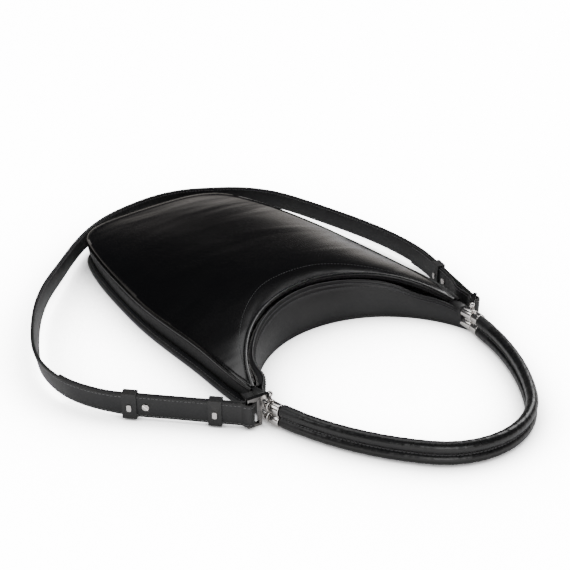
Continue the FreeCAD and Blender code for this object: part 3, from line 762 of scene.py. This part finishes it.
# The valley between the rolls holds a web and a row of thread on each side.
flat_t = tangents(np.column_stack([ARCH, 0 * ARCH[:, 0]]))
valley_line = np.column_stack([ARCH, np.full(len(ARCH), MID_LEVEL)])
outward = np.stack([flat_t[:, 1], -flat_t[:, 0], 0 * flat_t[:, 0]], axis=1)
valley = []
for sense in (1, -1):
    seat = valley_line + outward * sense * 3.0
    valley.append(stitches(seat, outward * sense, length=2.6, pitch=3.4, radius=0.62, proud=0.3))
valley_web = sweep(valley_line, (0, 0, 1), round_box(5.2, 3.4, 0.4, 2))
seam_thread = build("roll_seam_thread", *join(valley), DARK_THREAD, slot="bag_leather")
seam_web = build("roll_seam", *valley_web, ROLLS_PAINTED_LIGHT, slot="bag_leather")
for piece in (seam_thread, seam_web):
    bend_at_collar(piece)
COLLAR_FROM, COLLAR_TO = -33, -12.4
for side, sign in (("left", -1), ("right", 1)):
    parts = []
    take = [p for p in ARCH if p[0] * sign > 0 and COLLAR_FROM < p[1] < COLLAR_TO]
    take = even(np.array(sorted(take, key=lambda p: p[1])), 30)
    for height in ROLL_LEVELS.values():
        path = np.column_stack([take, np.full(len(take), height)])
        swell_out = np.interp(np.arange(30), [0, 3, 6, 24, 28, 29],
                              [5.36, 5.5, 5.62, 5.62, 5.55, 5.2])
        parts.append(sweep(path, (0, 0, 1), circle(1.0)[None] * swell_out[:, None, None]))
    verts, faces = join(parts)
    collar = build("collar_leather_" + side, verts, faces, STRAP_PAINTED_LIGHT,
                   stands_for=["handle_collar_" + side], slot="bag_leather")
    bend_at_collar(collar)

# ------------------------------------------------------------------ strap

# Where the strap turns round the rings, and its curved run between them: across, away
# from the handle, the lower edge's height, and its lean in degrees.
BARS = {"left": np.array([-146.04, 4.58]), "right": np.array([142.37, 14.16])}
STATIONS = np.array([
    (-226.8, 92.6, 4.7, 7), (-238.8, 111.6, 5.8, 9), (-247, 132, 7.1, 11), (-250.2, 154, 8.7, 12),
    (-248, 177, 10.2, 12), (-238, 204.5, 11.2, 11), (-222.7, 233, 12, 9), (-202.8, 264, 12, 6),
    (-176.8, 295.3, 12, 2), (-145, 326, 11, -2), (-113, 356, 10, -5), (-79.5, 381.5, 10, -8),
    (-45, 398.5, 10, -9), (-9, 407.2, 10, -9), (28, 410.7, 10, -10), (62.8, 404.7, 10, -11),
    (95.4, 387.6, 10, -12), (124.5, 363.3, 10, -10), (146.3, 331.7, 9, -8), (158.7, 292, 8, -6),
    (168.5, 248.8, 7, -5), (176.6, 203.7, 6, -4), (179.5, 159.6, 5, -2)], float)


def strap_line(shift):
    """Strap centre line with its edge height and lean, from bar to bar; its straight ends
    stand off the bars sideways by the shift."""
    left_dir = np.array([-226.0, 92.0]) - BARS["left"]
    left_dir /= np.linalg.norm(left_dir)
    left_normal = np.array([-left_dir[1], left_dir[0]])
    right_dir = np.array([174.1, 112.9]) - BARS["right"]
    right_dir /= np.linalg.norm(right_dir)
    right_normal = np.array([-right_dir[1], right_dir[0]])
    rows = [np.append(BARS["left"] + left_dir * d - left_normal * shift, (3.4, 0))
            for d in (6, 29, 52, 75, 98)]
    rows += list(STATIONS)
    rows += [np.append(BARS["right"] + right_dir * d + right_normal * shift, (3.4, 0))
             for d in (101, 82, 63, 44, 25, 6)]
    return np.array(rows), left_dir, right_dir


rows, LEFT_DIR, RIGHT_DIR = strap_line(-1.2)
LINE = through(rows, 620)


def strap_piece(name, line, thick, stands_for, stitch_sides, width=22.0):
    """A flat leather strap on edge, with rounded painted edges and seams."""
    t = tangents(np.column_stack([line[:, :2], 0 * line[:, 0]]))
    out = np.stack([-t[:, 1], t[:, 0], 0 * t[:, 0]], axis=1)
    lean = np.radians(line[:, 3])
    up = np.column_stack([out[:, :2] * np.sin(lean)[:, None], np.cos(lean)])
    face = np.column_stack([out[:, :2] * np.cos(lean)[:, None], -np.sin(lean)])
    centre = line[:, :3] + up * (width / 2)
    section = round_box(thick, width, min(0.9, thick * 0.38), 4)
    rows = (centre[:, None, :] + face[:, None, :] * section[None, :, :1]
            + up[:, None, :] * section[None, :, 1:])
    build(name, *grid(rows, close_columns=True, caps=True), STRAP_PAINTED_LIGHT, "strap", stands_for,
          "strap_leather")
    threads = []
    for flank in stitch_sides:
        for level in (-1, 1):
            path = centre + up * level * (width / 2 - 2.3) + face * flank * (thick / 2)
            threads.append(stitches(path, face * flank, length=2.5, pitch=3.6, radius=0.3))
    build(name + "_stitching", *join(threads), THREAD, "strap", slot="strap_leather")


splice = int(np.argmin(np.hypot(LINE[:, 0] + 160, LINE[:, 1] - 312)))
strap_piece("strap_long_left", LINE[:splice + 1], 3.0, ["strap_left"], (1, -1))
strap_piece("strap_long_right", LINE[splice:], 3.0, ["strap_right"], (1, -1))


def looped_end(side, end_at, sense, bow):
    """The tail's line: beside the strap, bowed out by the ring, and round the ring's bar."""
    bar = BARS[side]
    along = LEFT_DIR if side == "left" else RIGHT_DIR
    across = np.array([-along[1], along[0]])
    last = int(np.argmin(np.hypot(LINE[:, 0] - end_at[0], LINE[:, 1] - end_at[1])))
    span = LINE[:last + 1] if side == "left" else LINE[last:][::-1]
    t = tangents(np.column_stack([span[:, :2], 0 * span[:, 0]]))
    out = np.stack([-t[:, 1], t[:, 0]], axis=1) * sense
    tail = span.copy()
    reach = np.linalg.norm(span[:, :2] - bar, axis=1)
    tail[:, :2] += out * (2.75 + bow * bump(reach, 26, 13))[:, None]
    tail = tail[reach > 9.0]
    turn = []
    for d, n in ((4.6, 2.6), (2.6, 3.4), (0, 4.1), (-2.9, 2.9), (-4.1, 0), (-2.9, -2.9), (0, -4.0),
                 (2.8, -3.2), (6.0, -1.5)):
        turn.append(np.append(bar + along * d + across * n * sense, (3.4, 0)))
    path = through(np.concatenate([tail[::-1], np.array(turn)]), 240)
    if side == "left":
        path[:, 3] *= -1
    return path


for side, end_at, sense, bow in (("left", (-240.5, 143), -1, 0.0),
                                 ("right", (176.4, 136), 1, 3.6)):
    path = looped_end(side, end_at, sense, bow)
    strap_piece("strap_tail_" + side, path, 2.1, ["strap_end_" + side], (-1, 1), width=21.9)

# ------------------------------------------------------------------ inner CAD nodes keep a finish

for node, material in (("lining_back", LINING), ("lining_front", LINING), ("lining_mouth", LINING),
                       ("handle_core_lower", CORD), ("handle_core_upper", CORD),
                       ("connector_pins_left", METAL), ("connector_pins_right", METAL),
                       ("zip_stop_left", TEETH), ("zip_stop_right", TEETH)):
    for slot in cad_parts[node].material_slots:
        slot.material = material

# ------------------------------------------------------------------ stage

bpy.ops.mesh.primitive_plane_add(size=12.0, location=(0, 0, -0.0002))
floor = bpy.context.object
floor.name = "studio_floor"
paper, tree, shader = nodes_of("studio_paper")
mottle = add(tree, "ShaderNodeTexNoise", Scale=3.0, Detail=2.0)
tone = ramp(tree, mottle.outputs["Fac"], (0.90, 0.90, 0.905, 1), (0.925, 0.925, 0.93, 1),
            (0.3, 0.7))
tree.links.new(tone.outputs["Color"], shader.inputs["Base Color"])
shader.inputs["Roughness"].default_value = 0.75
# The paper sweep glows clear white for the lens and faintly for all other rays, so it also lights
# the bag like a lamp; ambient occlusion paints a shadow into the glow, darker under and beside the
# bag.
seen = add(tree, "ShaderNodeLightPath")
shade = add(tree, "ShaderNodeAmbientOcclusion", Distance=0.16)
shade.samples = 8
soft = add(tree, "ShaderNodeMath", operation="POWER")
tree.links.new(shade.outputs["AO"], soft.inputs[0])
soft.inputs[1].default_value = 3.0
glow = add(tree, "ShaderNodeMath", operation="MULTIPLY_ADD")
tree.links.new(seen.outputs["Is Camera Ray"], glow.inputs[0])
glow.inputs[1].default_value = 13.6
glow.inputs[2].default_value = 0.75
# Painted shadow: the glow is dimmed by the ambient occlusion near the bag.
painted_shadow_glow = add(tree, "ShaderNodeMath", operation="MULTIPLY")
tree.links.new(glow.outputs[0], painted_shadow_glow.inputs[0])
tree.links.new(soft.outputs[0], painted_shadow_glow.inputs[1])
shader.inputs["Emission Color"].default_value = (1.0, 1.0, 1.0, 1.0)
tree.links.new(painted_shadow_glow.outputs[0], shader.inputs["Emission Strength"])
floor.data.materials.append(paper)
floor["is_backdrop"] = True

world = bpy.data.worlds.new("studio")
bpy.context.scene.world = world
world.use_nodes = True
backing = world.node_tree.nodes["Background"]
sky = add(world.node_tree, "ShaderNodeTexCoord")
split = add(world.node_tree, "ShaderNodeSeparateXYZ")
world.node_tree.links.new(sky.outputs["Generated"], split.inputs["Vector"])
fade = ramp(world.node_tree, split.outputs["Z"], (0.92, 0.86, 0.81, 1), (0.032, 0.033, 0.037, 1),
            (0.07, 0.18))
world.node_tree.links.new(fade.outputs["Color"], backing.inputs["Color"])
backing.inputs["Strength"].default_value = 1.0


def softbox(name, where, aim, size, power):
    """A rectangular area light turned towards a point."""
    lamp = bpy.data.lights.new(name, "AREA")
    lamp.shape = "RECTANGLE"
    lamp.size, lamp.size_y = size
    lamp.energy = power
    light = bpy.data.objects.new(name, lamp)
    light.location = where
    light.rotation_euler = (Vector(aim) - Vector(where)).to_track_quat("-Z", "Y").to_euler()
    bpy.context.scene.collection.objects.link(light)


softbox("top_light", (0.15, 0.5, 1.9), (0, 0, 0), (1.4, 1.0), 11)
softbox("right_light", (1.5, 0.2, 1.2), (0, 0, 0), (0.8, 0.8), 16)
softbox("left_light", (-1.4, 0.5, 1.2), (0, 0, 0), (0.8, 0.8), 7)
softbox("front_light", (-0.9, -1.7, 0.75), (0, 0, 0), (1.3, 0.9), 14)

camera_data = bpy.data.cameras.new("camera")
camera_data.sensor_width = 36.0
camera_data.lens = 78.32
camera = bpy.data.objects.new("camera", camera_data)
camera.location = place((-679.3, -703.1, 610.3))
target = Vector(place((43.1, 189.0, 0)))
camera.rotation_euler = (target - camera.location).to_track_quat("-Z", "Y").to_euler()
bpy.context.scene.collection.objects.link(camera)
bpy.context.scene.camera = camera

bpy.context.view_layer.update()
low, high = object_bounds()
